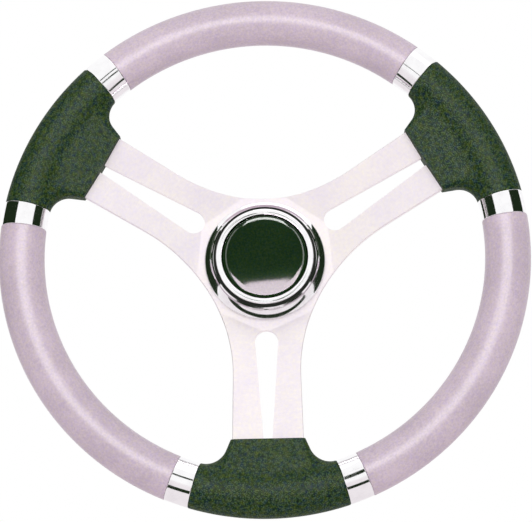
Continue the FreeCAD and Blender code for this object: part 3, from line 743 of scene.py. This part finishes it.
# %% [markdown]
# ## Dark flags for the mirrors
#
# Polished metal in an all-white room looks like paper. Photographers hang
# dark cloth where a mirror would show it. Two wide flags stand at the sides.
# Three small ones hang near the wheel, and a dark strip runs across the floor
# in front of it, bowed like the edge of a round table. Only mirror rays can
# see them. They give the collars and the hub's rings their black lines, and
# take no light from anything else. Dark bands could be drawn in the metal's
# colour instead, but those would stay put when the camera moves.

# %% The places of the flags
# Each flag has its distance, then two azimuths and two elevations in degrees.
FLAGS = {
    "flag_left": (2.3, (-131.0, -43.0), (-40.0, 43.0)),
    "flag_right": (2.3, (45.0, 108.0), (-40.0, 43.0)),
    "flag_near_left": (0.7, (-7.2, -1.6), (0.8, 8.5)),
    "flag_near_right": (0.7, (1.8, 8.0), (-8.9, 8.5)),
    "flag_near_top": (0.7, (-9.5, -4.0), (17.0, 21.0)),
}
STRIP_REACH = 0.9
STRIP_WIDTH = 0.27
STRIP_LIFT = 0.01
STRIP_BOW = (-0.595, -0.163, 0.276)


def flag_shape(distance, turn, lift):
    """Part of a sphere about the rim's middle: (d sin a cos e, -d cos a cos e, d sin e)."""

    def shape(u, v):
        azimuth = np.radians(turn[0] + u * (turn[1] - turn[0]))
        elevation = np.radians(lift[0] + v * (lift[1] - lift[0]))
        x = distance * np.sin(azimuth) * np.cos(elevation)
        y = RIM_Y - distance * np.cos(azimuth) * np.cos(elevation)
        z = distance * np.sin(elevation)
        return x, y, z

    return shape


def strip_shape(u, v):
    """A level strip along the parabola y = a + b x + c x squared, just above the floor."""
    x = (2 * u - 1) * STRIP_REACH
    start, slope, bow = STRIP_BOW
    y = start + slope * x + bow * x * x + (v - 0.5) * STRIP_WIDTH
    return x, y, np.full_like(x, FLOOR_HEIGHT + STRIP_LIFT)


print("flags to hang:", len(FLAGS), "and a strip on the floor")

# %% Hang the flags
FLAG_COLOUR = (0.012, 0.022, 0.010)
FLAG_POINTS = 17

flag_cloth = Finish("flag_cloth", "ShaderNodeEmission", Color=FLAG_COLOUR, Strength=1.0)
flag_shapes = {name: flag_shape(*edges) for name, edges in FLAGS.items()}
flag_shapes["flag_floor"] = strip_shape
for name, shape in flag_shapes.items():
    flag = grid_surface(name, FLAG_POINTS, shape)
    flag.data.materials.append(flag_cloth.material)
    flag.visible_camera = False
    flag.visible_diffuse = False
    flag.visible_shadow = False
    flag.visible_transmission = False
print("flags:", list(flag_shapes))

# %% [markdown]
# ## White cards for the cap
#
# The cap is a convex mirror, so it would show the near flags as dark spots.
# They could be moved out of its sight, but then the rings would lose their
# lines. So for the cap alone, each of them is covered by a lamp of about the
# same outline, as bright as the white world. A lamp of area A glows like a
# surface of strength 1 when its power is pi times A.

# %% Cover the near flags where the cap sees them
NEAR = 1.0
CARD_LEAD = 0.01

for name, (distance, turn, lift) in FLAGS.items():
    if distance > NEAR:
        continue
    centre = (sum(turn) / 2, sum(lift) / 2)
    high = distance * math.radians(lift[1] - lift[0])
    wide = distance * math.radians(turn[1] - turn[0]) * math.cos(math.radians(centre[1]))
    watts = math.pi * wide * high
    card = f"{name}_card"
    add_lamp(card, centre, distance - CARD_LEAD, (wide, high), watts, CAP, mirrored_only=True)
    print(f"{card}: {1000 * wide:.0f} by {1000 * high:.0f} mm")

# %% [markdown]
# ## The camera
#
# The photograph was taken from a little below the hub, 1.5 m away, with a
# long lens. The angles and the lens could be tried by eye, but the rim tells
# them: its outline fixes the size, and the spacing of hub and rim fixes the
# height of the camera.

# %% Place the camera
CAMERA_DISTANCE = 1.5
CAMERA_AZIMUTH = 0.76
CAMERA_ELEVATION = -13.78
CAMERA_ROLL = 1.1
CAMERA_SHIFT = (0.0009, -0.005)
FOCAL_PIXELS = 2279.0
IMAGE_WIDTH = 532
SENSOR_WIDTH = 36.0
NEAREST = 0.05
FARTHEST = 50.0

away = direction(CAMERA_AZIMUTH, CAMERA_ELEVATION)
right = (-away).cross(Vector((0, 0, 1))).normalized()
up = right.cross(-away)
position = MIDDLE + away * CAMERA_DISTANCE
position += right * CAMERA_SHIFT[0] + up * CAMERA_SHIFT[1]

lens = bpy.data.cameras.new("photo_lens")
lens.sensor_width = SENSOR_WIDTH
lens.lens = FOCAL_PIXELS / IMAGE_WIDTH * SENSOR_WIDTH
lens.clip_start = NEAREST
lens.clip_end = FARTHEST
camera = bpy.data.objects.new("photo_camera", lens)
bpy.context.scene.collection.objects.link(camera)
facing = Matrix((right, up, away)).transposed()
roll = Matrix.Rotation(-math.radians(CAMERA_ROLL), 3, "Z")
camera.matrix_world = Matrix.Translation(position) @ (facing @ roll).to_4x4()
bpy.context.scene.camera = camera
bpy.context.scene.view_settings.view_transform = "Standard"
print(f"camera at {[round(c, 3) for c in position]}, lens {lens.lens:.1f} mm")
